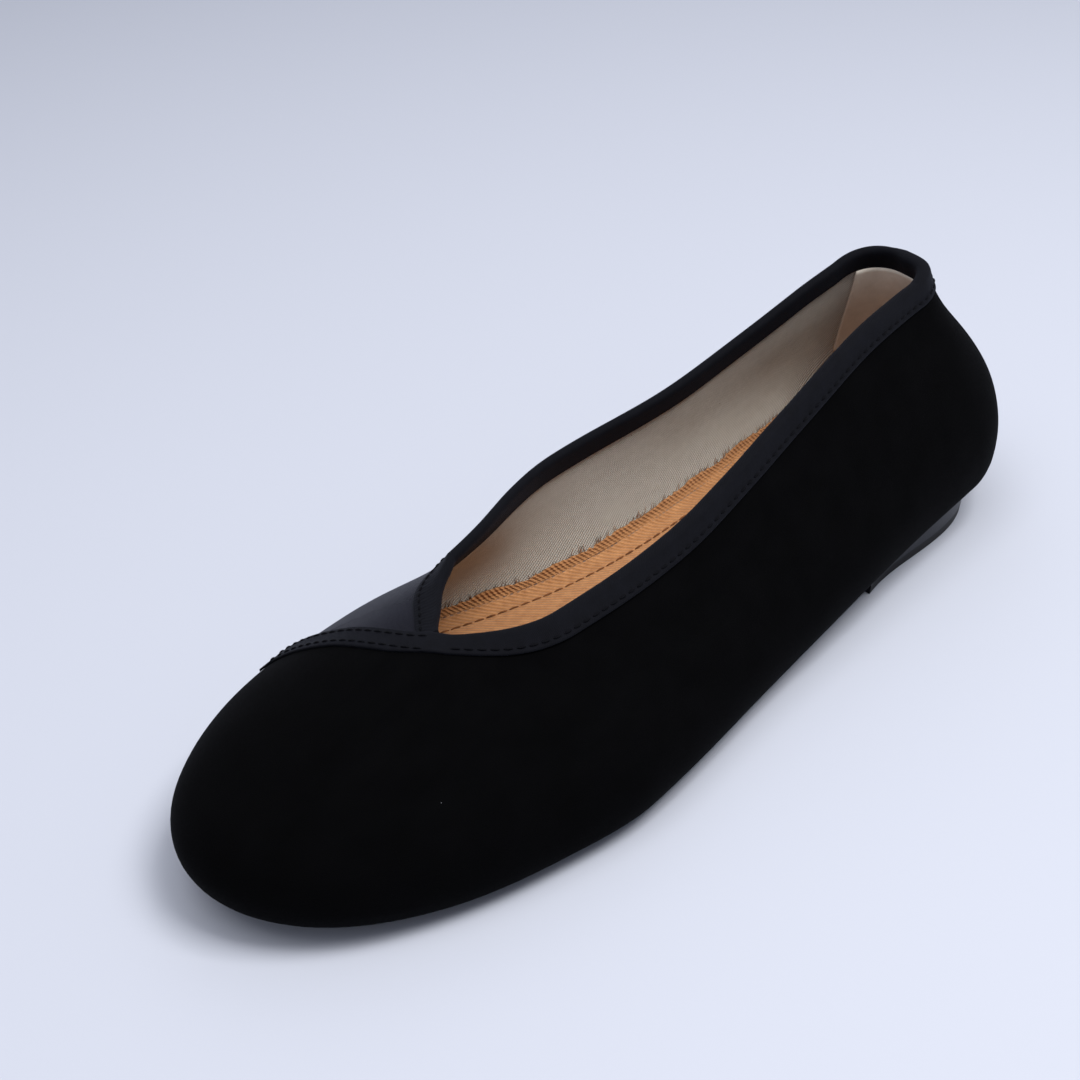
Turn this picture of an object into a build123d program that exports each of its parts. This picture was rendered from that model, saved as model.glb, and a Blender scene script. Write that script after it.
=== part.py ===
from build123d import *
import math
import os

import numpy as np

# A flat slip-on slipper, left foot. X runs to the toe, Y to the outer side, Z up from the floor.

# ---- sole and heel (mm) ----
HEEL_X, HEEL_Y = -88.4, -3.0     # centre of the round heel
BALL_X, BALL_Y = 41.6, -1.0      # centre of the round forepart
HEEL_RISE = 9.0           # floor to the outsole at the heel
TOE_SPRING = 4.2          # floor to the outsole at the toe tip
TREAD_BACK, TREAD_FRONT = 28.0, 72.0   # flat tread on the floor
TOE_X = 121.0
OUTSOLE_THICK = 2.5
OUTSOLE_INSET = 8.0       # outsole edge in from the edge of the upper, forepart
HEEL_INSET = 6.0          # the same round the heel
TOP_LIFT_THICK = 2.5
HEEL_FOOT_INSET = 6.8     # heel tapers a little toward the floor
HEEL_BREAST_X = -51.0
BOARD_THICK, FOAM_THICK, SOCK_THICK = 1.2, 0.7, 0.7
SHANK_THICK, SHANK_WIDE = 1.0, 12.0
SHANK_BACK, SHANK_FRONT = -92.0, 2.0
NAIL_RADIUS = 1.1
NAIL_SPREAD = 13.0

# ---- upper (mm) ----
FEATHER_ROUND = 4.5       # rounding where the upper turns under the foot
SWELL = 4.0               # how far the wall swells beyond the sole edge
MARGIN = 13.0             # lasting margin under the insole board
GAP = 0.1                 # clearance between neighbouring layers
VELVET = (0.0, 0.8)       # layers by depth under the outermost face
SHELL = (0.9, 1.35)
STIFFENER = (1.45, 1.8)
LINING = (1.9, 2.4)
INNER_TRIM = (2.5, 3.0)
TAPE_THICK = 0.5
BINDING_OUT, BINDING_IN = 4.4, 4.0     # binding width outside and inside
CROSS_TAPE_WIDE = 6.4
UNDERLAP = 9.0            # satin carried on below the velvet
GRIP_REACH, GRIP_DEEP = 38.0, 36.0     # heel patch, round from the back seam and down
LIP_RISE = 2.4            # sock edge turned up against the lining
STITCH_STEP, STITCH_SHARE = 4.0, 0.62
STITCH_WIDE, STITCH_THICK = 0.5, 0.3
BINDING_ROW = 3.2         # stitch row below the topline
CROSS_ROWS = (1.3, 5.0)   # stitch rows from the velvet edge
SOCK_ROW = 8.0            # stitch row in from the sole edge

# Shape of the upper: walk along the spine loop from the back seam, then sole edge and
# topline measured outward from the spine, and the height of the topline.
SHAPE = [
    (0.0, 33.0, 10.7, 64.3),      # back seam
    (23.5, 29.5, 11.0, 63.8),
    (47.0, 31.0, 10.9, 62.0),
    (74.0, 33.3, 12.3, 57.8),     # outer side
    (95.0, 35.0, 14.2, 52.0),
    (116.0, 36.8, 16.5, 47.0),
    (141.0, 39.3, 19.2, 42.0),
    (177.0, 44.2, 19.5, 39.5),
    (200.6, 48.5, 19.2, 39.3),
    (224.1, 64.5, 20.4, 39.3),
    (236.0, 75.5, 21.5, 39.5),    # throat corner
    (247.7, 80.0, 17.7, 39.5),    # toe
    (271.2, 64.5, 13.7, 39.5),
    (294.8, 48.5, 13.7, 39.5),
    (318.4, 41.5, 16.5, 39.5),
    (354.4, 30.5, 27.7, 40.2),    # inner side
    (391.4, 25.5, 24.4, 44.4),
    (421.4, 26.0, 21.2, 51.8),
    (448.4, 28.0, 16.2, 61.0),
    (471.9, 29.5, 14.7, 63.8),
]
HEEL_TURN = 47.0
STRAIGHT = BALL_X - HEEL_X
FORE_TURN = 141.4
LOOP = 2 * HEEL_TURN + 2 * STRAIGHT + FORE_TURN
STATION_STEP = LOOP / 48
THROAT = 234.0            # walk position of the throat corner
OUTER_END = 177.0 + 0.85 * FORE_TURN
COUNTER_REACH = 70.0
PUFF_START, PUFF_END = 215.0, 285.0

# Edge of the velvet where it crosses the vamp, in plan, from the opening to the inner side.
CROSSING = [(52, 12), (59, 7.5), (63.5, 2), (67, -6), (69.5, -15), (71.5, -22),
            (73.3, -29), (75.5, -35), (78, -42), (81, -50)]


def closed_curve(column):
    """Smooth closed curve through one column of SHAPE."""
    stops = [row[0] for row in SHAPE]
    values = [row[column] for row in SHAPE]
    count = len(stops)
    spans = [(stops[(i + 1) % count] - stops[i]) % LOOP for i in range(count)]
    matrix = np.zeros((count, count))
    target = np.zeros(count)
    for i in range(count):
        after = (i + 1) % count
        matrix[i, i - 1] = spans[i - 1]
        matrix[i, i] = 2 * (spans[i - 1] + spans[i])
        matrix[i, after] = spans[i]
        rise = (values[after] - values[i]) / spans[i]
        target[i] = 6 * (rise - (values[i] - values[i - 1]) / spans[i - 1])
    bend = np.linalg.solve(matrix, target)

    def value(walk):
        walk = walk % LOOP
        i = max(k for k in range(count) if stops[k] <= walk)
        after = (i + 1) % count
        span = spans[i]
        ahead = walk - stops[i]
        behind = span - ahead
        curved = (bend[i] * behind**3 + bend[after] * ahead**3) / (6 * span)
        start = (values[i] / span - bend[i] * span / 6) * behind
        end = (values[after] / span - bend[after] * span / 6) * ahead
        return float(curved + start + end)

    return value


sole_reach = closed_curve(1)
top_reach = closed_curve(2)
top_height = closed_curve(3)


def spine(walk):
    """Spine point and outward direction (radians) at a walk position."""
    walk = walk % LOOP
    if walk < HEEL_TURN:
        return HEEL_X, HEEL_Y, math.radians(180 - 90 * walk / HEEL_TURN)
    walk -= HEEL_TURN
    if walk < STRAIGHT:
        return HEEL_X + walk, HEEL_Y + (BALL_Y - HEEL_Y) * walk / STRAIGHT, math.radians(90)
    walk -= STRAIGHT
    if walk < FORE_TURN:
        return BALL_X, BALL_Y, math.radians(90 - 180 * walk / FORE_TURN)
    walk -= FORE_TURN
    if walk < STRAIGHT:
        return BALL_X - walk, BALL_Y + (HEEL_Y - BALL_Y) * walk / STRAIGHT, math.radians(-90)
    walk -= STRAIGHT
    return HEEL_X, HEEL_Y, math.radians(-90 - 90 * walk / HEEL_TURN)


def tread(x):
    """Height of the outsole's underside at x."""
    if x > TREAD_FRONT:
        return TOE_SPRING * ((x - TREAD_FRONT) / (TOE_X - TREAD_FRONT)) ** 2
    if x > TREAD_BACK:
        return 0.0
    part = min((TREAD_BACK - x) / (TREAD_BACK - HEEL_X), 1.0)
    return HEEL_RISE * part * part * (3 - 2 * part)


def seat(x):
    """Height where the upper rests on the outsole at x."""
    return tread(x) + OUTSOLE_THICK


def inset_curve(points, depth):
    """Cubic control points moved inward by depth."""
    normals = []
    for a, b in zip(points[:-1], points[1:]):
        run, rise = b[0] - a[0], b[1] - a[1]
        length = math.hypot(run, rise)
        normals.append((rise / length, -run / length))
    moved = []
    for i, (r, z) in enumerate(points):
        n = normals[max(i - 1, 0)]
        m = normals[min(i, 2)]
        scale = depth / (1 + n[0] * m[0] + n[1] * m[1])
        moved.append((r - scale * (n[0] + m[0]), z - scale * (n[1] + m[1])))
    return moved


def wall(walk, depth):
    """Cubic control points of the wall, sole edge to topline, in the section plane."""
    x, y, angle = spine(walk)
    sole, top, height = sole_reach(walk), top_reach(walk), top_height(walk)
    base = seat(x + sole * math.cos(angle))
    rise, lean = height - base, sole - top
    domed = lean**2 / (lean**2 + rise**2)
    points = [
        (sole, base + FEATHER_ROUND),
        (sole + SWELL, base + (0.48 + 0.19 * domed) * rise),
        (top + 3 * (1 - domed) + 0.55 * lean * domed, height - (1 - domed) * 0.35 * rise),
        (top, height),
    ]
    return inset_curve(points, depth)


def margin_point(walk, back, depth):
    """Point of the lasting margin, `back` inward from the sole edge."""
    x, y, angle = spine(walk)
    reach = sole_reach(walk) - back
    return reach, seat(x + reach * math.cos(angle)) + depth


def feather(walk, depth):
    """Cubic control points of the rounded turn below the wall."""
    start = margin_point(walk, FEATHER_ROUND, depth)
    end, after = wall(walk, depth)[:2]
    pull = 0.55 * (FEATHER_ROUND - depth)
    length = math.hypot(after[0] - end[0], after[1] - end[1])
    down = ((end[0] - after[0]) / length, (end[1] - after[1]) / length)
    return [start, (start[0] + pull, start[1]), (end[0] + pull * down[0], end[1] + pull * down[1]), end]


def section_plane(walk):
    """Upright plane through the spine: local x outward, local y up."""
    x, y, angle = spine(walk)
    cos, sin = math.cos(angle), math.sin(angle)
    return Plane(origin=(x, y, 0), x_dir=(cos, sin, 0), z_dir=(sin, -cos, 0))


def stations(start, stop):
    """Walk positions of the loft sections between two ends."""
    first = math.ceil((start + 2) / STATION_STEP)
    last = math.floor((stop - 2) / STATION_STEP)
    return [start] + [k * STATION_STEP for k in range(first, last + 1)] + [stop]


def tail(points, t):
    """Control points of the part of a cubic from t to its end."""
    layers = [points]
    while len(layers[-1]) > 1:
        row = layers[-1]
        layers.append([(a[0] + t * (b[0] - a[0]), a[1] + t * (b[1] - a[1])) for a, b in zip(row[:-1], row[1:])])
    return [layers[3][0], layers[2][1], layers[1][2], layers[0][3]]


def cubic(points, t):
    """Point of a cubic at t."""
    s = 1 - t
    weights = (s**3, 3 * s * s * t, 3 * s * t * t, t**3)
    return tuple(sum(w * p[k] for w, p in zip(weights, points)) for k in (0, 1))


def below_top(points, distance):
    """Parameter of the point `distance` down the cubic from its end."""
    t, left, here = 1.0, distance, points[3]
    while t > 0.01:
        there = cubic(points, t - 0.004)
        step = math.dist(here, there)
        if step >= left:
            return t - 0.004 * left / step
        t, left, here = t - 0.004, left - step, there
    return t


def upper_layer(start, stop, layer):
    """Wall and lasting margin of one layer of the upper between two walk positions."""
    outer, inner = layer
    with BuildPart() as solid:
        for walk in stations(start, stop):
            with BuildSketch(section_plane(walk)):
                with BuildLine():
                    Line(margin_point(walk, MARGIN, outer), margin_point(walk, FEATHER_ROUND, outer))
                    Bezier(*feather(walk, outer))
                    Bezier(*wall(walk, outer))
                    Line(wall(walk, outer)[3], wall(walk, inner)[3])
                    Bezier(*reversed(wall(walk, inner)))
                    Bezier(*reversed(feather(walk, inner)))
                    Line(margin_point(walk, FEATHER_ROUND, inner), margin_point(walk, MARGIN, inner))
                    Line(margin_point(walk, MARGIN, inner), margin_point(walk, MARGIN, outer))
                make_face()
        loft()
    return solid.part


def wall_band(start, stop, layer, limits):
    """Band on the wall; `limits` gives its two curve parameters on a wall curve."""
    outer, inner = layer
    with BuildPart() as solid:
        for walk in stations(start, stop):
            out_curve = between(wall(walk, outer), *limits(walk, outer))
            in_curve = between(wall(walk, inner), *limits(walk, inner))
            with BuildSketch(section_plane(walk)):
                with BuildLine():
                    Bezier(*out_curve)
                    Line(out_curve[3], in_curve[3])
                    Bezier(*reversed(in_curve))
                    Line(in_curve[0], out_curve[0])
                make_face()
        loft()
    return solid.part


def between(points, low, high):
    """Control points of the part of a cubic between two parameters."""
    if low > 0:
        points = tail(points, low)
    if high < 1:
        points = list(reversed(tail(list(reversed(points)), (1 - high) / (1 - low))))
    return points


def whole_wall(walk, depth):
    """Limits of a band over the whole wall."""
    return 0.0, 1.0


def grip_limits(walk, depth):
    """Limits of the heel patch."""
    curve = wall(walk, depth)
    return below_top(curve, GRIP_DEEP), below_top(curve, BINDING_IN + 0.3)


def lip_limits(walk, depth):
    """Limits of the turned-up sock edge."""
    curve = wall(walk, depth)
    x, y, angle = spine(walk)
    foot = seat(x + sole_reach(walk) * math.cos(angle)) + sock_over + GAP
    return at_height(curve, foot), at_height(curve, foot + LIP_RISE)


def at_height(points, height):
    """Parameter where a cubic first reaches a height."""
    low, high = 0.0, 0.9
    for _ in range(40):
        middle = (low + high) / 2
        if cubic(points, middle)[1] < height:
            low = middle
        else:
            high = middle
    return low


def binding(start, stop, face):
    """Binding folded over the topline; `face` is the depth it lies on outside."""
    outside, inside = face - GAP, INNER_TRIM[0]
    with BuildPart() as solid:
        for walk in stations(start, stop):
            skin = wall(walk, outside - TAPE_THICK)
            under = wall(walk, outside)
            over = wall(walk, inside)
            back = wall(walk, inside + TAPE_THICK)
            out_t, in_t = below_top(under, BINDING_OUT), below_top(over, BINDING_IN)
            up = (under[3][0] - under[2][0], under[3][1] - under[2][1])
            size = math.hypot(*up)
            up = (up[0] / size, up[1] / size)
            legs = [tail(skin, out_t), tail(under, out_t), tail(over, in_t), tail(back, in_t)]
            with BuildSketch(section_plane(walk)):
                with BuildLine():
                    Bezier(*legs[0])
                    Bezier(skin[3], lifted(skin[3], up, 1.8), lifted(back[3], up, 1.8), back[3])
                    Bezier(*reversed(legs[3]))
                    Line(legs[3][0], legs[2][0])
                    Bezier(*legs[2])
                    Bezier(over[3], lifted(over[3], up, 0.4), lifted(under[3], up, 0.4), under[3])
                    Bezier(*reversed(legs[1]))
                    Line(legs[1][0], legs[0][0])
                make_face()
        loft()
    return solid.part


def lifted(point, up, distance):
    """Point moved along a direction."""
    return point[0] + up[0] * distance, point[1] + up[1] * distance


def outsole_inset(walk):
    """Inset of the outsole at a walk position: less round the heel than in front."""
    part = min(max((spine(walk)[0] - HEEL_BREAST_X) / 60, 0.0), 1.0)
    return HEEL_INSET + (OUTSOLE_INSET - HEEL_INSET) * part * part * (3 - 2 * part)


def plan_outline(inset):
    """Closed plan outline inset from the sole edge, by a length or a function of the walk."""
    points = []
    for walk in (k * LOOP / 40 for k in range(40)):
        x, y, angle = spine(walk)
        reach = sole_reach(walk) - (inset(walk) if callable(inset) else inset)
        points.append((x + reach * math.cos(angle), y + reach * math.sin(angle)))
    return points


def side_profile(height):
    """Side line at a height above the seat: curved heel and toe, straight tread."""
    rear = [HEEL_X - 45 + 8 * k for k in range(20)] + [TREAD_BACK]
    front = [TREAD_FRONT + 7 * k for k in range(10)]
    Spline(*[(x, seat(x) + height) for x in rear])
    Line((TREAD_BACK, seat(TREAD_BACK) + height), (TREAD_FRONT, seat(TREAD_FRONT) + height))
    Spline(*[(x, seat(x) + height) for x in front])
    return (rear[0], seat(rear[0]) + height), (front[-1], seat(front[-1]) + height)


def sole_layer(inset, low, high):
    """Layer following the bottom of the foot, between two heights above the seat."""
    with BuildPart() as solid:
        with BuildSketch(Plane.XZ):
            with BuildLine():
                low_back, low_front = side_profile(low)
                high_back, high_front = side_profile(high)
                Line(low_front, high_front)
                Line(high_back, low_back)
            make_face()
        extrude(amount=70, both=True)
        with BuildSketch(Plane.XY.offset(-5)):
            with BuildLine():
                Spline(*plan_outline(inset), periodic=True)
            make_face()
        extrude(amount=60, mode=Mode.INTERSECT)
    return solid.part


def offset_line(points, distance):
    """Open plan line moved sideways to its left by a distance."""
    moved = []
    for i, (x, y) in enumerate(points):
        before, after = points[max(i - 1, 0)], points[min(i + 1, len(points) - 1)]
        run, rise = after[0] - before[0], after[1] - before[1]
        length = math.hypot(run, rise)
        moved.append((x - distance * rise / length, y + distance * run / length))
    return moved


def upright_block(outline, closing):
    """Tall block whose plan is a smooth line closed by straight sides."""
    with BuildPart() as block:
        with BuildSketch(Plane.XY.offset(-5)):
            with BuildLine():
                Spline(*outline)
                Polyline(outline[-1], *closing, outline[0])
            make_face()
        extrude(amount=90)
    return block.part


def velvet_side(shift):
    """Block over the toe and outer side of the velvet edge, the edge moved toward the toe."""
    return upright_block(offset_line(CROSSING, shift),
                         [(150, -80), (150, 80), (-150, 80), (-150, -5), (30, -5)])


def satin_side(shift):
    """Block over the inner side of the velvet edge, the edge moved toward the toe."""
    line = offset_line(CROSSING, shift)
    return upright_block(line, [(line[-1][0], -80), (-150, -80), (-150, 5), (40, 5), (48, 12)])


def wall_point(walk, t, depth):
    """Point of the wall at a walk position and curve parameter."""
    x, y, angle = spine(walk)
    reach, height = cubic(wall(walk, depth), t)
    return Vector(x + reach * math.cos(angle), y + reach * math.sin(angle), height)


def wall_spot(walk, t, depth):
    """Point of the wall and its outward direction."""
    here = wall_point(walk, t, depth)
    return here, (wall_point(walk, t, depth - 1) - here).normalized()


def vamp_spot(x, y, depth):
    """Spot of the forepart above a plan position."""
    turn = 90 - math.degrees(math.atan2(y - BALL_Y, x - BALL_X))
    reach = math.hypot(x - BALL_X, y - BALL_Y)
    walk = HEEL_TURN + STRAIGHT + FORE_TURN * turn / 180
    curve = wall(walk, depth)
    low, high = 0.15, 1.0
    while high - low > 1e-4:
        middle = (low + high) / 2
        if cubic(curve, middle)[0] > reach:
            low = middle
        else:
            high = middle
    return wall_spot(walk, low, depth)


def thread_row(spots):
    """Separate stitches along a row of spots, each bridging part of one step."""
    with BuildPart() as row:
        for (start, normal), (stop, _) in zip(spots[:-1], spots[1:]):
            along = stop - start
            middle = start + along * 0.5 + normal * (STITCH_THICK / 2 + 0.03)
            with Locations(Plane(origin=middle, x_dir=along, z_dir=normal)):
                Box(along.length * STITCH_SHARE, STITCH_WIDE, STITCH_THICK)
    return row.part


def save(part, name):
    """Name a sub-part and write its file."""
    part.label = name
    export_step(part, f"parts/{name}.step")
    print(name, len(part.solids()), round(part.volume, 1))


os.makedirs("parts", exist_ok=True)

# ---- sole: outsole, heel, shank and what fills the hollow between them ----
nail_spots = [(HEEL_X + dx, HEEL_Y + dy) for dx in (-NAIL_SPREAD, NAIL_SPREAD) for dy in (-8, 8)]
nail_foot = HEEL_RISE - 7.0
nail_head = HEEL_RISE + OUTSOLE_THICK + 2.2

with BuildPart() as outsole:
    add(sole_layer(outsole_inset, -OUTSOLE_THICK, 0.0))
    with Locations(*[(x, y, 0) for x, y in nail_spots]):
        Cylinder(NAIL_RADIUS + 0.05, 80, mode=Mode.SUBTRACT)
save(outsole.part, "outsole")


def heel_slice(inset, height):
    """D-shaped heel outline at a height."""
    back = [k * HEEL_TURN / 4 for k in range(-5, 6)]
    points = []
    for walk in back:
        x, y, angle = spine(walk)
        reach = sole_reach(walk) - inset
        points.append((x + reach * math.cos(angle), y + reach * math.sin(angle)))
    breast = HEEL_BREAST_X - HEEL_X
    middle = spine(HEEL_TURN + breast)[1]
    side = sole_reach(HEEL_TURN + breast) - inset
    inner = sole_reach(LOOP - HEEL_TURN - breast) - inset
    points = [(HEEL_BREAST_X, middle - inner)] + points + [(HEEL_BREAST_X, middle + side)]
    with BuildSketch(Plane.XY.offset(height)) as outline:
        with BuildLine():
            Spline(*points)
            ThreePointArc(points[-1], (HEEL_BREAST_X - 1.5, middle), points[0])
        make_face()
    return outline.sketch


with BuildPart() as heel_block:
    add(heel_slice(HEEL_FOOT_INSET, TOP_LIFT_THICK))
    add(heel_slice(HEEL_INSET, HEEL_RISE + 3.0))
    loft()
    with BuildSketch(Plane.XZ):
        with BuildLine():
            steps = [HEEL_X - 45 + 6 * k for k in range(20)]
            Spline(*[(x, tread(x)) for x in steps])
            Polyline((steps[-1], tread(steps[-1])), (steps[-1], 40), (steps[0], 40), (steps[0], tread(steps[0])))
        make_face()
    extrude(amount=70, both=True, mode=Mode.SUBTRACT)
    with Locations(*[(x, y, (nail_foot + 40) / 2) for x, y in nail_spots]):
        Cylinder(NAIL_RADIUS + 0.05, 40 - nail_foot, mode=Mode.SUBTRACT)
save(heel_block.part, "heel_block")

with BuildPart() as top_lift:
    add(heel_slice(HEEL_FOOT_INSET + 0.4, 0.0))
    add(heel_slice(HEEL_FOOT_INSET, TOP_LIFT_THICK))
    loft()
save(top_lift.part, "heel_top_lift")

with BuildPart() as nails:
    with Locations(*[(x, y, (nail_foot + nail_head) / 2) for x, y in nail_spots]):
        Cylinder(NAIL_RADIUS, nail_head - nail_foot - 0.1)
save(nails.part, "heel_nails")

BOARD_UNDER = INNER_TRIM[0]
shank_low = 0.7
with BuildPart() as shank:
    add(sole_layer(MARGIN, shank_low, shank_low + SHANK_THICK))
    with Locations(((SHANK_BACK + SHANK_FRONT) / 2, HEEL_Y, 0)):
        Box(SHANK_FRONT - SHANK_BACK, SHANK_WIDE, 80, mode=Mode.INTERSECT)
    with Locations(*[(x, y, 0) for x, y in nail_spots]):
        Cylinder(NAIL_RADIUS + 0.3, 80, mode=Mode.SUBTRACT)
save(shank.part, "shank")

with BuildPart() as filler:
    add(sole_layer(MARGIN + 0.5, GAP, BOARD_UNDER - GAP))
    with BuildSketch(Plane.XZ.offset(-HEEL_Y)):
        with BuildLine():
            steps = [SHANK_BACK - 0.5 + (SHANK_FRONT - SHANK_BACK + 1) * k / 12 for k in range(13)]
            Spline(*[(x, seat(x) + shank_low - GAP) for x in steps])
            Line((steps[-1], seat(steps[-1]) + shank_low - GAP),
                 (steps[-1], seat(steps[-1]) + shank_low + SHANK_THICK + GAP))
            Spline(*[(x, seat(x) + shank_low + SHANK_THICK + GAP) for x in reversed(steps)])
            Line((steps[0], seat(steps[0]) + shank_low + SHANK_THICK + GAP),
                 (steps[0], seat(steps[0]) + shank_low - GAP))
        make_face()
    extrude(amount=SHANK_WIDE / 2 + GAP, both=True, mode=Mode.SUBTRACT)
    with Locations(*[(x, y, 0) for x, y in nail_spots]):
        Cylinder(NAIL_RADIUS + 0.05, 80, mode=Mode.SUBTRACT)
save(filler.part, "bottom_filler")

# ---- footbed ----
sock_inset = FEATHER_ROUND - 0.3
sock_under = BOARD_UNDER + BOARD_THICK + FOAM_THICK + 2 * GAP
sock_over = sock_under + SOCK_THICK
save(sole_layer(FEATHER_ROUND, BOARD_UNDER, BOARD_UNDER + BOARD_THICK), "insole_board")
save(sole_layer(sock_inset, BOARD_UNDER + BOARD_THICK + GAP, sock_under - GAP), "insole_foam")
save(sole_layer(sock_inset, sock_under, sock_over), "sock_lining")

# ---- upper, inside to outside ----
BACK_SEAM = 0.02
save(upper_layer(BACK_SEAM, LOOP / 2, LINING), "lateral_lining")
save(upper_layer(LOOP / 2, LOOP - BACK_SEAM, LINING), "medial_lining")
save(upper_layer(-COUNTER_REACH, COUNTER_REACH, STIFFENER), "heel_counter")
save(upper_layer(PUFF_START, PUFF_END, STIFFENER), "toe_puff")
save(upper_layer(COUNTER_REACH, PUFF_START, STIFFENER), "lateral_interlining")
save(upper_layer(PUFF_END, LOOP - COUNTER_REACH, STIFFENER), "medial_interlining")

with BuildPart() as satin:
    add(upper_layer(THROAT - 2, LOOP - BACK_SEAM, SHELL))
    add(satin_side(UNDERLAP), mode=Mode.INTERSECT)
save(satin.part, "satin_panel")

with BuildPart() as backing:
    add(upper_layer(BACK_SEAM, OUTER_END + 20, SHELL))
    add(velvet_side(UNDERLAP + GAP), mode=Mode.INTERSECT)
save(backing.part, "velvet_backing")

with BuildPart() as velvet:
    add(upper_layer(BACK_SEAM, OUTER_END + 20, VELVET))
    add(velvet_side(0.0), mode=Mode.INTERSECT)
save(velvet.part, "velvet_panel")

with BuildPart() as cross_tape:
    add(wall_band(THROAT + 0.5, OUTER_END + 20, (-GAP - TAPE_THICK, -GAP), whole_wall))
    add(velvet_side(-0.4), mode=Mode.INTERSECT)
    add(satin_side(CROSS_TAPE_WIDE), mode=Mode.INTERSECT)
save(cross_tape.part, "crossing_tape")

save(binding(BACK_SEAM, THROAT, VELVET[0]), "lateral_binding")

with BuildPart() as medial_binding:
    add(binding(THROAT + 0.5, LOOP - BACK_SEAM, SHELL[0]))
    add(satin_side(-0.5), mode=Mode.INTERSECT)
save(medial_binding.part, "medial_binding")

save(wall_band(-GRIP_REACH, GRIP_REACH, INNER_TRIM, grip_limits), "heel_grip_patch")
with BuildPart() as turned_edge:
    add(wall_band(0.5, LOOP / 2 - 0.2, INNER_TRIM, lip_limits))
    add(wall_band(LOOP / 2 + 0.2, LOOP - 0.5, INNER_TRIM, lip_limits))
save(turned_edge.part, "sock_turned_edge")

# ---- thread ----
def topline_row(start, stop, depth):
    """Spots of a stitch row a fixed distance below the topline."""
    walks = [start + STITCH_STEP * k for k in range(int((stop - start) / STITCH_STEP) + 1)]
    return [wall_spot(w, below_top(wall(w, depth), BINDING_ROW), depth) for w in walks]


def crossing_row(shift, depth):
    """Spots of a stitch row along the velvet edge across the vamp."""
    line = offset_line(CROSSING[2:-2], shift)
    spots = []
    for (x, y), (x_next, y_next) in zip(line[:-1], line[1:]):
        count = max(1, round(math.hypot(x_next - x, y_next - y) / STITCH_STEP))
        for k in range(count):
            part = k / count
            spots.append(vamp_spot(x + (x_next - x) * part, y + (y_next - y) * part, depth))
    return spots


def sock_row():
    """Spots of the stitch row round the sock."""
    spots = []
    for k in range(101):
        x, y, angle = spine(LOOP * k / 100)
        reach = sole_reach(LOOP * k / 100) - SOCK_ROW
        x, y = x + reach * math.cos(angle), y + reach * math.sin(angle)
        spots.append((Vector(x, y, seat(x) + sock_over), Vector(0, 0, 1)))
    return spots


velvet_face, satin_face = VELVET[0] - GAP - TAPE_THICK, SHELL[0] - GAP - TAPE_THICK
save(thread_row(topline_row(3, THROAT - 2, velvet_face)), "lateral_binding_stitches")
save(thread_row(topline_row(THROAT + 14, LOOP - 2, satin_face)), "medial_binding_stitches")
with BuildPart() as cross_rows:
    for shift in CROSS_ROWS:
        add(thread_row(crossing_row(shift, velvet_face)))
save(cross_rows.part, "crossing_stitches")
save(thread_row(sock_row()), "sock_stitches")
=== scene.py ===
import math
import random

import bpy
import numpy as np
from mathutils import Matrix, Vector, noise


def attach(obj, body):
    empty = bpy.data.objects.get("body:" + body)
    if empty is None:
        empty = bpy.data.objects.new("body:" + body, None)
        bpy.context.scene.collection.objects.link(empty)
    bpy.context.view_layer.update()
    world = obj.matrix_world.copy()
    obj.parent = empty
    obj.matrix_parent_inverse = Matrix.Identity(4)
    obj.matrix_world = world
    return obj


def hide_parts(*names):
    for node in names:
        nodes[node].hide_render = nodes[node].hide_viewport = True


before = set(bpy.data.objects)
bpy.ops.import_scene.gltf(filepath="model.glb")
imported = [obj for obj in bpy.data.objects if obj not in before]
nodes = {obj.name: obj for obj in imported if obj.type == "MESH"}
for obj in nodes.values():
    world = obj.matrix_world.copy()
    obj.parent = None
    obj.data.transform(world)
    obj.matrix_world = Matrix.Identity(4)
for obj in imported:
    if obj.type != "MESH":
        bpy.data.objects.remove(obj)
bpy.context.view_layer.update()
random.seed(7)
MM = 0.001

# ---- the slipper's driving sizes, in millimetres, as in the frame ----
HEEL_X, HEEL_Y = -88.4, -3.0
BALL_X, BALL_Y = 41.6, -1.0
HEEL_RISE, TOE_SPRING = 9.0, 4.2
TREAD_BACK, TREAD_FRONT, TOE_X = 28.0, 72.0, 121.0
OUTSOLE_THICK = 2.5
FEATHER_ROUND, SWELL = 4.5, 4.0
VELVET, SHELL, LINING, INNER_TRIM = (0.0, 0.8), (0.9, 1.35), (1.9, 2.4), (2.5, 3.0)
TAPE_THICK = 0.5
BINDING_OUT, BINDING_IN = 4.4, 4.0
CROSS_TAPE_WIDE = 6.4
UNDERLAP = 9.0
SOCK_OVER = 5.3           # sock top above the seat of the upper
SOCK_INSET = 3.6
SOCK_ROW = 8.0            # sock stitch row in from the sole edge
LIP_RISE = 2.5
STITCH_STEP = 2.6
BINDING_ROW = 3.2

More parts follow.
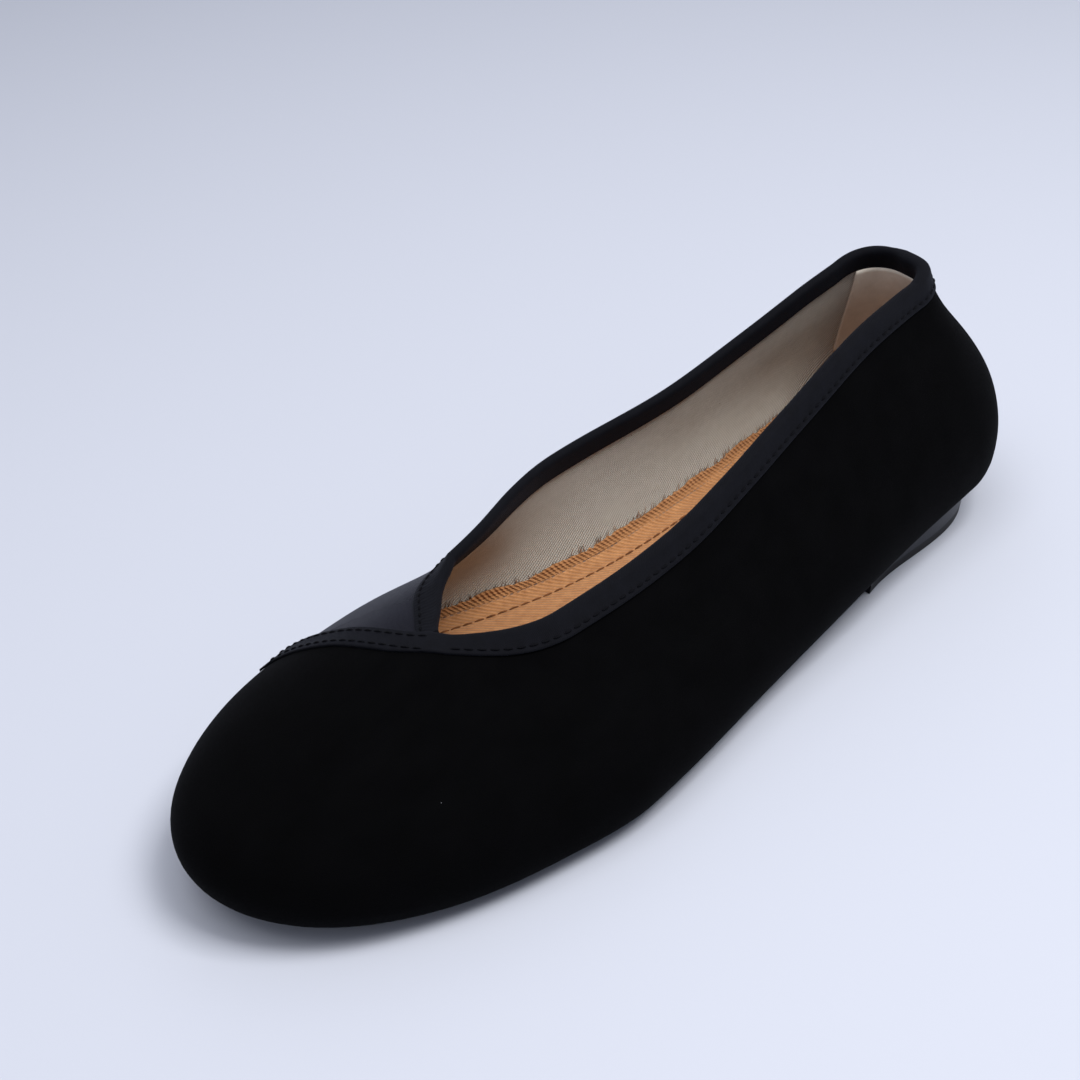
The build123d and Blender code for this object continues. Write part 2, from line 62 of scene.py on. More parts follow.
# walk round the spine loop, sole edge reach, topline reach, topline height
SHAPE = [
    (0.0, 33.0, 10.7, 64.3),      # back seam
    (23.5, 29.5, 11.0, 63.8),
    (47.0, 31.0, 10.9, 62.0),
    (74.0, 33.3, 12.3, 57.8),     # outer side
    (95.0, 35.0, 14.2, 52.0),
    (116.0, 36.8, 16.5, 47.0),
    (141.0, 39.3, 19.2, 42.0),
    (177.0, 44.2, 19.5, 39.5),
    (200.6, 48.5, 19.2, 39.3),
    (224.1, 64.5, 20.4, 39.3),
    (236.0, 75.5, 21.5, 39.5),    # throat corner
    (247.7, 80.0, 17.7, 39.5),    # toe
    (271.2, 64.5, 13.7, 39.5),
    (294.8, 48.5, 13.7, 39.5),
    (318.4, 41.5, 16.5, 39.5),
    (354.4, 30.5, 27.7, 40.2),    # inner side
    (391.4, 25.5, 24.4, 44.4),
    (421.4, 26.0, 21.2, 51.8),
    (448.4, 28.0, 16.2, 61.0),
    (471.9, 29.5, 14.7, 63.8),
]
HEEL_TURN, STRAIGHT, FORE_TURN = 47.0, BALL_X - HEEL_X, 141.4
LOOP = 2 * HEEL_TURN + 2 * STRAIGHT + FORE_TURN
THROAT = 236.0
CROSSING = [(52, 12), (59, 7.5), (63.5, 2), (67, -6), (69.5, -15), (71.5, -22),
            (73.3, -29), (75.5, -35), (78, -42), (81, -50)]


# ---- shape of the upper ----
def closed_curve(column):
    """Smooth closed curve through one column of SHAPE, sampled for np.interp."""
    stops = np.array([row[0] for row in SHAPE])
    values = np.array([row[column] for row in SHAPE])
    count = len(stops)
    spans = np.append(np.diff(stops), LOOP - stops[-1])
    matrix, target = np.zeros((count, count)), np.zeros(count)
    for i in range(count):
        after = (i + 1) % count
        matrix[i, i - 1] = spans[i - 1]
        matrix[i, i] = 2 * (spans[i - 1] + spans[i])
        matrix[i, after] = spans[i]
        slopes = (values[after] - values[i]) / spans[i], (values[i] - values[i - 1]) / spans[i - 1]
        target[i] = 6 * (slopes[0] - slopes[1])
    bend = np.linalg.solve(matrix, target)
    walks = np.linspace(0, LOOP, 2001)
    i = np.minimum(np.searchsorted(stops, walks, side="right") - 1, count - 1)
    after, span = (i + 1) % count, spans[i]
    ahead = walks - stops[i]
    behind = span - ahead
    curve = (bend[i] * behind**3 + bend[after] * ahead**3) / (6 * span)
    curve += (values[i] / span - bend[i] * span / 6) * behind
    curve += (values[after] / span - bend[after] * span / 6) * ahead
    return lambda walk: float(np.interp(walk % LOOP, walks, curve))


sole_reach, top_reach, top_height = closed_curve(1), closed_curve(2), closed_curve(3)


def spine(walk):
    """Spine point and outward direction at a walk position."""
    walk = walk % LOOP
    if walk < HEEL_TURN:
        return HEEL_X, HEEL_Y, math.radians(180 - 90 * walk / HEEL_TURN)
    walk -= HEEL_TURN
    if walk < STRAIGHT:
        return HEEL_X + walk, HEEL_Y + (BALL_Y - HEEL_Y) * walk / STRAIGHT, math.radians(90)
    walk -= STRAIGHT
    if walk < FORE_TURN:
        return BALL_X, BALL_Y, math.radians(90 - 180 * walk / FORE_TURN)
    walk -= FORE_TURN
    if walk < STRAIGHT:
        return BALL_X - walk, BALL_Y + (HEEL_Y - BALL_Y) * walk / STRAIGHT, math.radians(-90)
    walk -= STRAIGHT
    return HEEL_X, HEEL_Y, math.radians(-90 - 90 * walk / HEEL_TURN)


def seat(x):
    """Height where the upper rests on the outsole at x."""
    if x > TREAD_FRONT:
        tread = TOE_SPRING * ((x - TREAD_FRONT) / (TOE_X - TREAD_FRONT)) ** 2
    else:
        part = min(max((TREAD_BACK - x) / (TREAD_BACK - HEEL_X), 0.0), 1.0)
        tread = HEEL_RISE * part * part * (3 - 2 * part)
    return tread + OUTSOLE_THICK


def wall(walk, depth):
    """Cubic control points of the wall at a depth, sole edge to topline, in the section plane."""
    x, y, angle = spine(walk)
    sole, top, height = sole_reach(walk), top_reach(walk), top_height(walk)
    base = seat(x + sole * math.cos(angle))
    rise, lean = height - base, sole - top
    domed = lean**2 / (lean**2 + rise**2)
    points = np.array([
        (sole, base + FEATHER_ROUND),
        (sole + SWELL, base + (0.48 + 0.19 * domed) * rise),
        (top + 3 * (1 - domed) + 0.55 * lean * domed, height - (1 - domed) * 0.35 * rise),
        (top, height),
    ])
    legs = np.diff(points, axis=0)
    normals = np.column_stack([legs[:, 1], -legs[:, 0]]) / np.linalg.norm(legs, axis=1)[:, None]
    before = normals[[0, 0, 1, 2]]
    after = normals[[0, 1, 2, 2]]
    scale = depth / (1 + (before * after).sum(1))
    return points - scale[:, None] * (before + after)


def bezier(points, t):
    """Points of a cubic at the values t."""
    t = np.asarray(t, dtype=float)[:, None]
    s = 1 - t
    return s**3 * points[0] + 3 * s * s * t * points[1] + 3 * s * t * t * points[2] + t**3 * points[3]


def feather(walk, depth, reach):
    """Section points of the lasting margin and the rounded turn, inner end first."""
    x, y, angle = spine(walk)
    sole = sole_reach(walk)
    flat = [(sole - back, seat(x + (sole - back) * math.cos(angle)) + depth) for back in (reach, FEATHER_ROUND)]
    end, after = wall(walk, depth)[:2]
    pull = 0.55 * (FEATHER_ROUND - depth)
    down = (end - after) / np.linalg.norm(end - after)
    turn = np.array([flat[1], (flat[1][0] + pull, flat[1][1]), end + pull * down, end])
    return np.vstack([flat[:1], bezier(turn, np.linspace(0, 1, 7))[:-1]])


def ripple(spot):
    """Small unevenness of sewn cloth at a place, in millimetres outward."""
    return 0.45 * noise.noise(Vector(spot) * 0.024) + 0.22 * noise.noise(Vector(spot) * 0.07)


def on_wall(walk, t, depth):
    """Section points of the wall at the values t, with the cloth's unevenness."""
    x, y, angle = spine(walk)
    here = bezier(wall(walk, depth), t)
    out = bezier(wall(walk, depth - 1), t) - here
    flat = np.column_stack([x + here[:, 0] * math.cos(angle), y + here[:, 0] * math.sin(angle), here[:, 1]])
    return here + out * np.array([ripple(spot) for spot in flat])[:, None]


def place(walk, section):
    """Section points of one walk position, in metres in the frame."""
    x, y, angle = spine(walk)
    section = np.asarray(section)
    return np.column_stack([
        (x + section[:, 0] * math.cos(angle)) * MM,
        (y + section[:, 0] * math.sin(angle)) * MM,
        section[:, 1] * MM,
    ])


def sheet_path(walk, depth, low, high, count=40):
    """Points up one layer at a walk position; from the lasting margin where low is 0."""
    path = on_wall(walk, np.linspace(low, high, count), depth)
    start = feather(walk, depth, 10.0) if low == 0 else np.repeat(path[:1], 7, axis=0)
    return place(walk, np.vstack([start, path]))


def below_top(points, distance):
    """Parameter of the point `distance` down a cubic from its end."""
    values = np.linspace(1, 0, 240)
    track = bezier(points, values)
    lengths = np.append(0, np.cumsum(np.linalg.norm(np.diff(track, axis=0), axis=1)))
    return float(np.interp(distance, lengths, values))


# ---- velvet edge across the vamp ----
def smooth_line(points, count):
    """Even points of a smooth open line through the given ones."""
    points = np.array(points, dtype=float)
    steps = np.append(0, np.cumsum(np.linalg.norm(np.diff(points, axis=0), axis=1)))
    slopes = np.gradient(points, steps, axis=0)
    values = np.linspace(0, steps[-1], count)
    i = np.clip(np.searchsorted(steps, values, side="right") - 1, 0, len(points) - 2)
    span = (steps[i + 1] - steps[i])[:, None]
    u = (values - steps[i])[:, None] / span
    return ((2 * u**3 - 3 * u**2 + 1) * points[i] + (u**3 - 2 * u**2 + u) * span * slopes[i]
            + (3 * u**2 - 2 * u**3) * points[i + 1] + (u**3 - u**2) * span * slopes[i + 1])


EDGE = smooth_line(CROSSING, 300)
EDGE_ALONG = np.gradient(EDGE, axis=0)
EDGE_ALONG /= np.linalg.norm(EDGE_ALONG, axis=1)[:, None]
EDGE_TOEWARD = np.column_stack([-EDGE_ALONG[:, 1], EDGE_ALONG[:, 0]])


def polar(spots):
    """Walk position and reach of plan points of the forepart."""
    run, rise = spots[:, 0] - BALL_X, spots[:, 1] - BALL_Y
    turn = 90 - np.degrees(np.arctan2(rise, run))
    return HEEL_TURN + STRAIGHT + FORE_TURN * turn / 180, np.hypot(run, rise)


def edge_parameter(walk, shift):
    """Wall parameter where a line beside the velvet edge crosses a section; 1 where it misses."""
    walks, reaches = polar(EDGE + shift * EDGE_TOEWARD)
    if walk < walks[0] or walk > walks[-1]:
        return 1.0 if walk < walks[0] else 0.0
    reach = np.interp(walk, walks, reaches)
    values = np.linspace(1, 0, 200)
    return float(np.interp(reach, bezier(wall(walk, 0), values)[:, 0], values))


# ---- mesh helpers ----
def finish_mesh(name, verts, faces, uvs, material, smooth=True):
    """Object from vertices, faces and per-corner texture coordinates (millimetres)."""
    mesh = bpy.data.meshes.new(name)
    mesh.from_pydata([tuple(v) for v in verts], [], faces)
    layer = mesh.uv_layers.new(name="cloth")
    layer.data.foreach_set("uv", np.array(uvs, dtype=float).ravel())
    mesh.polygons.foreach_set("use_smooth", [smooth] * len(faces))
    mesh.materials.append(material)
    mesh.update()
    obj = bpy.data.objects.new(name, mesh)
    bpy.context.scene.collection.objects.link(obj)
    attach(obj, "root")
    return obj


def strip_mesh(name, rows, material, wrap=False, loop=False):
    """Mesh over rows of points. wrap joins each row's ends; loop joins the last row to the first."""
    rows = np.array(rows)
    count, size = rows.shape[:2]
    across = np.linalg.norm(np.diff(rows, axis=1, append=rows[:, :1]), axis=2).mean(0)
    v = np.append(0, np.cumsum(across)) / MM
    middle = rows[:, size // 3]
    u = np.append(0, np.cumsum(np.linalg.norm(np.diff(middle, axis=0, append=middle[:1]), axis=1))) / MM
    faces, uvs = [], []
    for i in range(count if loop else count - 1):
        j = (i + 1) % count
        for k in range(size if wrap else size - 1):
            m = (k + 1) % size
            faces.append((i * size + k, j * size + k, j * size + m, i * size + m))
            uvs += [(u[i], v[k]), (u[i + 1], v[k]), (u[i + 1], v[k + 1]), (u[i], v[k + 1])]
    if wrap and not loop:
        for i, order in ((0, range(size)), (count - 1, range(size - 1, -1, -1))):
            faces.append(tuple(i * size + k for k in order))
            uvs += [(u[i], v[k]) for k in order]
    return finish_mesh(name, rows.reshape(-1, 3), faces, uvs, material)


# ---- materials ----
def cloth(name, color, rough, sheen=0.0, sheen_rough=0.5, sheen_tint=(1, 1, 1)):
    """New material with its shader's plain values set, and its node tree."""
    material = bpy.data.materials.new(name)
    material.use_nodes = True
    tree = material.node_tree
    shader = tree.nodes["Principled BSDF"]
    shader.inputs["Base Color"].default_value = (*color, 1)
    shader.inputs["Roughness"].default_value = rough
    shader.inputs["Sheen Weight"].default_value = sheen
    shader.inputs["Sheen Roughness"].default_value = sheen_rough
    shader.inputs["Sheen Tint"].default_value = (*sheen_tint, 1)
    return material, tree, shader


def node(tree, kind, inputs=None, **settings):
    """New shader node; inputs maps a socket name or number to a value or another socket."""
    made = tree.nodes.new(kind)
    for key, value in settings.items():
        setattr(made, key, value)
    for key, value in (inputs or {}).items():
        if isinstance(value, bpy.types.NodeSocket):
            tree.links.new(value, made.inputs[key])
        else:
            made.inputs[key].default_value = value
    return made


def math_node(tree, operation, *values):
    """Math node on two or three values or sockets; returns its output."""
    return node(tree, "ShaderNodeMath", dict(enumerate(values)), operation=operation).outputs[0]


def cloth_uv(tree):
    """Texture coordinates of the cloth, in millimetres."""
    return node(tree, "ShaderNodeUVMap", uv_map="cloth").outputs[0]


def object_space(tree):
    """Object coordinates, in metres."""
    return node(tree, "ShaderNodeTexCoord").outputs["Object"]


def mottled(tree, shader, coords, dark, light, scale, detail=4.0):
    """Base colour that drifts between two tones."""
    field = node(tree, "ShaderNodeTexNoise", {"Vector": coords, "Scale": scale, "Detail": detail}).outputs[0]
    ramp = node(tree, "ShaderNodeValToRGB", {0: field})
    ramp.color_ramp.elements[0].position, ramp.color_ramp.elements[1].position = 0.3, 0.7
    ramp.color_ramp.elements[0].color = (*dark, 1)
    ramp.color_ramp.elements[1].color = (*light, 1)
    tree.links.new(ramp.outputs[0], shader.inputs["Base Color"])
    return ramp


def twill_height(tree, coords, pitch, steep):
    """Height field of a diagonal twill weave with threads `pitch` mm apart."""
    parts = node(tree, "ShaderNodeSeparateXYZ", {0: coords})
    x, y = parts.outputs[0], parts.outputs[1]
    turn = 2 * math.pi / pitch
    slant = math_node(tree, "ADD", x, math_node(tree, "MULTIPLY", y, steep))
    wale = math_node(tree, "SINE", math_node(tree, "MULTIPLY", slant, turn))
    thread = math_node(tree, "SINE", math_node(tree, "MULTIPLY", y, 2.2 * turn))
    return math_node(tree, "MULTIPLY_ADD", thread, 0.35, wale)


def bumped(tree, shader, height, strength, distance):
    """Bump from a height field."""
    bump = node(tree, "ShaderNodeBump", {"Height": height, "Strength": strength, "Distance": distance})
    tree.links.new(bump.outputs[0], shader.inputs["Normal"])


def velvet_material():
    """Black pile with a faint nap and a little lint."""
    material, tree, shader = cloth("velvet", (0.0014, 0.0014, 0.0016), 0.95, 0.012, 0.35, (0.5, 0.55, 0.7))
    shader.inputs["Specular IOR Level"].default_value = 0.03
    coords = cloth_uv(tree)
    tone = mottled(tree, shader, coords, (0.0010, 0.0010, 0.0012), (0.0015, 0.0015, 0.0018), 0.12)
    spots = node(tree, "ShaderNodeTexVoronoi", {"Vector": coords, "Scale": 0.085, "Randomness": 1.0})
    near = math_node(tree, "LESS_THAN", spots.outputs["Distance"], 0.022)
    few = node(tree, "ShaderNodeSeparateColor", {0: spots.outputs["Color"]}).outputs[0]
    lint = math_node(tree, "MULTIPLY", near, math_node(tree, "GREATER_THAN", few, 0.55))
    mix = node(tree, "ShaderNodeMix", {0: lint, 6: tone.outputs[0], 7: (0.12, 0.12, 0.13, 1)}, data_type="RGBA")
    tree.links.new(mix.outputs[2], shader.inputs["Base Color"])
    pile = node(tree, "ShaderNodeTexNoise", {"Vector": coords, "Scale": 4.0, "Detail": 3.0}).outputs[0]
    bumped(tree, shader, pile, 0.35, 0.0003)
    return material


def satin_material():
    """Navy sateen with a soft gloss along fine ribs."""
    material, tree, shader = cloth("satin", (0.008, 0.008, 0.015), 0.5, 0.05, 0.4, (0.5, 0.55, 0.8))
    shader.inputs["Specular IOR Level"].default_value = 0.10
    coords = cloth_uv(tree)
    mottled(tree, shader, coords, (0.0032, 0.0032, 0.0068), (0.0054, 0.0054, 0.0105), 0.09)
    height = twill_height(tree, coords, 0.55, 0.35)
    bumped(tree, shader, height, 0.25, 0.00012)
    grain = node(tree, "ShaderNodeTexNoise", {"Vector": coords, "Scale": 1.3, "Detail": 5.0}).outputs[0]
    rough = math_node(tree, "MULTIPLY_ADD", grain, 0.2, 0.42)
    tree.links.new(rough, shader.inputs["Roughness"])
    return material


def tape_material():
    """Dark navy bias tape with a fine slanting weave."""
    material, tree, shader = cloth("binding_tape", (0.004, 0.0045, 0.008), 0.75, 0.03, 0.4, (0.5, 0.55, 0.8))
    shader.inputs["Specular IOR Level"].default_value = 0.10
    coords = cloth_uv(tree)
    mottled(tree, shader, coords, (0.0013, 0.0015, 0.0032), (0.0024, 0.0027, 0.0052), 0.3)
    bumped(tree, shader, twill_height(tree, coords, 0.5, 1.0), 0.35, 0.00015)
    return material


def lining_material():
    """Cream cotton twill with slub and a few dark flecks."""
    material, tree, shader = cloth("lining_twill", (0.72, 0.66, 0.56), 0.85, 0.15)
    coords = cloth_uv(tree)
    tone = mottled(tree, shader, coords, (0.74, 0.70, 0.62), (0.82, 0.78, 0.70), 0.35, 8.0)
    height = twill_height(tree, coords, 1.05, 1.0)
    # the twill's valleys are painted darker in the base colour: painted shade in the weave's grooves
    painted_valley_shade = math_node(tree, "MULTIPLY_ADD", height, 0.17, 0.80)
    shade = node(tree, "ShaderNodeMix", {0: 1.0, 6: tone.outputs[0], 7: painted_valley_shade}, data_type="RGBA", blend_type="MULTIPLY")
    spots = node(tree, "ShaderNodeTexVoronoi", {"Vector": coords, "Scale": 0.22})
    near = math_node(tree, "LESS_THAN", spots.outputs["Distance"], 0.055)
    few = node(tree, "ShaderNodeSeparateColor", {0: spots.outputs["Color"]}).outputs[0]
    fleck = math_node(tree, "MULTIPLY", near, math_node(tree, "GREATER_THAN", few, 0.78))
    mix = node(tree, "ShaderNodeMix", {0: fleck, 6: shade.outputs[2], 7: (0.3, 0.2, 0.12, 1)}, data_type="RGBA")
    tree.links.new(mix.outputs[2], shader.inputs["Base Color"])
    bumped(tree, shader, height, 0.8, 0.0004)
    return material


def grip_material():
    """Pale smooth pig-skin patch."""
    material, tree, shader = cloth("grip_leather", (0.73, 0.66, 0.57), 0.6, 0.1)
    coords = cloth_uv(tree)
    mottled(tree, shader, coords, (0.68, 0.61, 0.52), (0.78, 0.71, 0.62), 0.25, 6.0)
    pores = node(tree, "ShaderNodeTexVoronoi", {"Vector": coords, "Scale": 1.1}).outputs["Distance"]
    bumped(tree, shader, pores, 0.2, 0.0002)
    return material


def sock_material(name, dark, light):
    """Tan cotton twill of the sock."""
    material, tree, shader = cloth(name, light, 0.85, 0.1)
    coords = cloth_uv(tree)
    tone = mottled(tree, shader, coords, dark, light, 0.5, 8.0)
    height = twill_height(tree, coords, 1.25, 0.8)
    # the twill's valleys are painted darker in the base colour: painted shade in the weave's grooves
    painted_valley_shade = math_node(tree, "MULTIPLY_ADD", height, 0.11, 0.87)
    shade = node(tree, "ShaderNodeMix", {0: 1.0, 6: tone.outputs[0], 7: painted_valley_shade}, data_type="RGBA", blend_type="MULTIPLY")
    tree.links.new(shade.outputs[2], shader.inputs["Base Color"])
    bumped(tree, shader, height, 0.6, 0.0004)
    return material


def thread_material(name, color):
    """Twisted sewing thread."""
    material, tree, shader = cloth(name, color, 0.8)
    shader.inputs["Specular IOR Level"].default_value = 0.1
    coords = object_space(tree)
    mottled(tree, shader, coords, tuple(0.7 * c for c in color), tuple(1.3 * c for c in color), 900.0)
    twist = node(tree, "ShaderNodeTexWave", {"Vector": coords, "Scale": 900.0}).outputs[1]
    bumped(tree, shader, twist, 0.4, 0.0001)
    return material


def moulded_material(name, color, rough, grain_scale=900.0):
    """Moulded rubber, board or metal with fine grain."""
    material, tree, shader = cloth(name, color, rough)
    coords = object_space(tree)
    mottled(tree, shader, coords, tuple(0.85 * c for c in color), tuple(1.15 * c for c in color), 60.0)
    grain = node(tree, "ShaderNodeTexNoise", {"Vector": coords, "Scale": grain_scale, "Detail": 4.0}).outputs[0]
    bumped(tree, shader, grain, 0.15, 0.0002)
    return material, tree, shader


VELVET_CLOTH, SATIN_CLOTH, TAPE = velvet_material(), satin_material(), tape_material()
LINING_CLOTH, GRIP = lining_material(), grip_material()
SOCK_CLOTH = sock_material("sock_twill", (0.50, 0.215, 0.075), (0.68, 0.32, 0.125))
# darker copy of the sock twill: painted shade on the turned-up edge, which faces the light less
SOCK_EDGE_PAINTED_SHADE = sock_material("sock_edge", (0.42, 0.18, 0.06), (0.58, 0.265, 0.10))
NAVY_THREAD = thread_material("navy_thread", (0.0012, 0.0014, 0.0028))
SOCK_THREAD = thread_material("sock_thread", (0.20, 0.08, 0.032))


# ---- upper panels ----
def shell_rows(walks, layer, limits):
    """Closed section rows of a cloth layer; limits gives its wall parameters at a walk."""
    rows = []
    for walk in walks:
        low, high = limits(walk)
        outer = sheet_path(walk, layer[0], low, high)
        inner = sheet_path(walk, layer[1], low, high)
        rows.append(np.vstack([outer, inner[::-1]]))
    return rows


def velvet_limits(walk):
    return 0.0, edge_parameter(walk, 0.0) if walk > HEEL_TURN + STRAIGHT else 1.0


def satin_limits(walk):
    if walk > HEEL_TURN + STRAIGHT + FORE_TURN:
        return 0.0, 1.0
    return edge_parameter(walk, UNDERLAP / 2), 1.0


last_edge = float(polar(EDGE)[0][-60])
velvet = strip_mesh("velvet_panel_cloth", shell_rows(np.linspace(0, last_edge, 240), VELVET, velvet_limits),
                    VELVET_CLOTH, wrap=True)
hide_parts("velvet_panel")
satin = strip_mesh("satin_panel_cloth", shell_rows(np.linspace(THROAT + 1, LOOP, 200), SHELL, satin_limits),
                   SATIN_CLOTH, wrap=True)
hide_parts("satin_panel")
lining = strip_mesh("lining_cloth", shell_rows(np.linspace(0, LOOP, 300)[:-1], LINING, lambda walk: (0.0, 1.0)),
                    LINING_CLOTH, wrap=True, loop=True)
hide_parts("lateral_lining", "medial_lining")


# ---- binding ----
def folded_row(walk, face, dent):
    """Closed section of the binding folded over the topline, over cloth at depth `face`."""
    skin_depth, under, over, back = face - TAPE_THICK - 0.1, face - 0.1, INNER_TRIM[0], INNER_TRIM[1]
    out_t = [below_top(wall(walk, skin_depth), d) for d in np.linspace(BINDING_OUT, 0, 9)]
    in_t = [below_top(wall(walk, back), d) for d in np.linspace(0, BINDING_IN, 7)]
    skin, inner = on_wall(walk, out_t, skin_depth), on_wall(walk, in_t, back)
    skin[4] -= (on_wall(walk, out_t, skin_depth - 1) - skin)[4] * dent
    skin[2] -= (on_wall(walk, out_t, skin_depth - 1) - skin)[2] * dent
    up = wall(walk, under)[3] - wall(walk, under)[2]
    up = up / np.linalg.norm(up)
    fold = np.array([skin[-1], skin[-1] + 1.9 * up, inner[0] + 1.9 * up, inner[0]])
    roll = bezier(fold, np.linspace(0, 1, 10))[1:-1]
    low_in, low_out = on_wall(walk, [in_t[-1], 1.0], over), on_wall(walk, [1.0, out_t[0]], under)
    return place(walk, np.vstack([skin, roll, inner, low_in, low_out]))


def vamp_point(spot, depth):
    """Point of the forepart above a plan position, in metres."""
    walks, reaches = polar(np.array([spot]))
    values = np.linspace(1, 0.02, 160)
    t = float(np.interp(reaches[0], bezier(wall(walks[0], depth), values)[:, 0], values))
    return place(walks[0], on_wall(walks[0], [t], depth))[0]


def flat_row(i, dent, wide):
    """Closed section of the binding where it runs along the velvet's edge over the vamp."""
    def at(distance, depth):
        return vamp_point(EDGE[i] + EDGE_TOEWARD[i] * distance, depth)
    top, under = -TAPE_THICK - 0.1, -0.1
    distances = np.linspace(wide, 0.3, 9)
    depths = [top + (dent if k in (1, 7) else 0.0) for k in range(9)]
    skin = [at(d, z) for d, z in zip(distances, depths)]
    turns = np.linspace(0, math.pi, 10)[1:-1]
    roll = [at(0.3 - 0.7 * math.sin(a), 0.15 - 0.75 * math.cos(a)) for a in turns]
    inner = [at(d, 0.88) for d in np.linspace(0.3, 4.0, 7)]
    return np.array(skin + roll + inner + [at(4.0, 0.84), at(0.6, 0.84), at(0.6, under), at(wide, under)])


def stitch_dent(track, deepest):
    """How far thread pulls the tape in at a distance along a row."""
    return deepest * (0.5 + 0.5 * math.cos(2 * math.pi * track / STITCH_STEP))


def binding_rows(start, stop, face):
    """Folded sections between two walk positions over cloth at depth `face`."""
    walks = np.linspace(start, stop, int(abs(stop - start) / 0.65))
    middle = [place(w, bezier(wall(w, face), [0.9]))[0] / MM for w in walks]
    track = np.append(0, np.cumsum(np.linalg.norm(np.diff(middle, axis=0), axis=1)))
    rows = []
    for walk, along in zip(walks, track):
        to_seam = min(1.0, max(0.0, (walk - LOOP + 14) / 12))
        rows.append(folded_row(walk, face * (1 - to_seam), stitch_dent(along, 0.1)))
    return rows


edge_on_top = int(np.argmin(np.abs(polar(EDGE)[0] - (THROAT - 2.0))))
edge_last = len(EDGE) - 62
velvet_rows = binding_rows(0.0, THROAT - 5.0, VELVET[0])
for i in range(edge_on_top + 12, edge_last):
    track = i * 80.0 / 300
    wide = CROSS_TAPE_WIDE - 0.9 * max(0.0, 1 - (i - edge_on_top - 12) / 25)
    velvet_rows.append(flat_row(i, stitch_dent(track, 0.1), wide))
lateral_binding = strip_mesh("lateral_binding_tape", velvet_rows, TAPE, wrap=True)
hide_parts("lateral_binding", "crossing_tape")
medial_binding = strip_mesh("medial_binding_tape", binding_rows(THROAT + 4.0, LOOP, SHELL[0]), TAPE, wrap=True)
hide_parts("medial_binding")


# ---- thread ----
def stitch_mesh(name, track, normals, step, share, material):
    """One soft-ended thread stitch per step along a track of points (metres)."""
    lengths = np.append(0, np.cumsum(np.linalg.norm(np.diff(track, axis=0), axis=1)))
    verts, faces, uvs = [], [], []
    sides, rings = 6, 5
    for k in range(int(lengths[-1] / (step * MM))):
        ends = np.array([k + 0.5 - share / 2, k + 0.5 + share / 2]) * step * MM
        a, b, n = (np.array([np.interp(e, lengths, part[:, c]) for c in range(3)])
                   for e, part in ((ends[0], track), (ends[1], track), (ends.mean(), normals)))
        along = (b - a) / np.linalg.norm(b - a)
        side = np.cross(n, along)
        side /= np.linalg.norm(side)
        up = np.cross(along, side)
        first = len(verts)
        for ring in range(rings):
            part = ring / (rings - 1)
            width = 0.24 * MM * math.sqrt(max(math.sin(math.pi * (0.08 + 0.84 * part)), 0))
            centre = a + (b - a) * part + up * MM * (0.02 + 0.14 * math.sin(math.pi * part))
            for s in range(sides):
                turn = 2 * math.pi * s / sides
                verts.append(centre + width * (math.cos(turn) * side + 0.75 * math.sin(turn) * up))
        for ring in range(rings - 1):
            for s in range(sides):
                low, high = first + ring * sides, first + (ring + 1) * sides
                faces.append((low + s, low + (s + 1) % sides, high + (s + 1) % sides, high + s))
                uvs += [(0, 0)] * 4
        for order in (range(sides - 1, -1, -1), range((rings - 1) * sides, rings * sides)):
            faces.append(tuple(first + s for s in order))
            uvs += [(0, 0)] * sides
    return finish_mesh(name, verts, faces, uvs, material)


def topline_track(start, stop, face):
    """Track and normals of a stitch row below the topline on the binding's skin."""
    walks = np.linspace(start, stop, 500)
    depth = face - TAPE_THICK - 0.1
    track, above = [], []
    for walk in walks:
        t = below_top(wall(walk, depth), BINDING_ROW)
        track.append(place(walk, on_wall(walk, [t], depth))[0])
        above.append(place(walk, on_wall(walk, [t], depth - 1))[0])
    return np.array(track), np.array(above) - np.array(track)


def crossing_track(distance):
    """Track and normals of a stitch row beside the velvet's edge across the vamp."""
    track, above = [], []
    for i in range(edge_on_top + 12, edge_last - 4, 2):
        spot = EDGE[i] + EDGE_TOEWARD[i] * distance
        track.append(vamp_point(spot, -TAPE_THICK - 0.1))
        above.append(vamp_point(spot, -TAPE_THICK - 1.1))
    lift = np.array(above) - np.array(track)
    return np.array(track), lift + np.array([0.3, -0.3, 0]) * MM


track, normals = topline_track(3, THROAT - 7, VELVET[0])
rows = [stitch_mesh("lateral_binding_thread", track, normals, STITCH_STEP, 0.7, NAVY_THREAD)]
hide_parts("lateral_binding_stitches")
track, normals = topline_track(THROAT + 9, LOOP - 3, SHELL[0])
rows.append(stitch_mesh("medial_binding_thread", track, normals, STITCH_STEP, 0.7, NAVY_THREAD))
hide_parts("medial_binding_stitches")
for number, distance in enumerate((1.3, 5.0)):
    track, normals = crossing_track(distance)
    piece = stitch_mesh(f"crossing_thread_{number + 1}", track, normals, STITCH_STEP, 0.7, NAVY_THREAD)
    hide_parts("crossing_stitches")


# ---- footbed ----
def floor_point(walk, back, lift=0.0):
    """Point of the sock's top, `back` inward from the sole edge."""
    x, y, angle = spine(walk)
    reach = sole_reach(walk) - back
    x, y = x + reach * math.cos(angle), y + reach * math.sin(angle)
    return x * MM, y * MM, (seat(x) + SOCK_OVER + lift) * MM


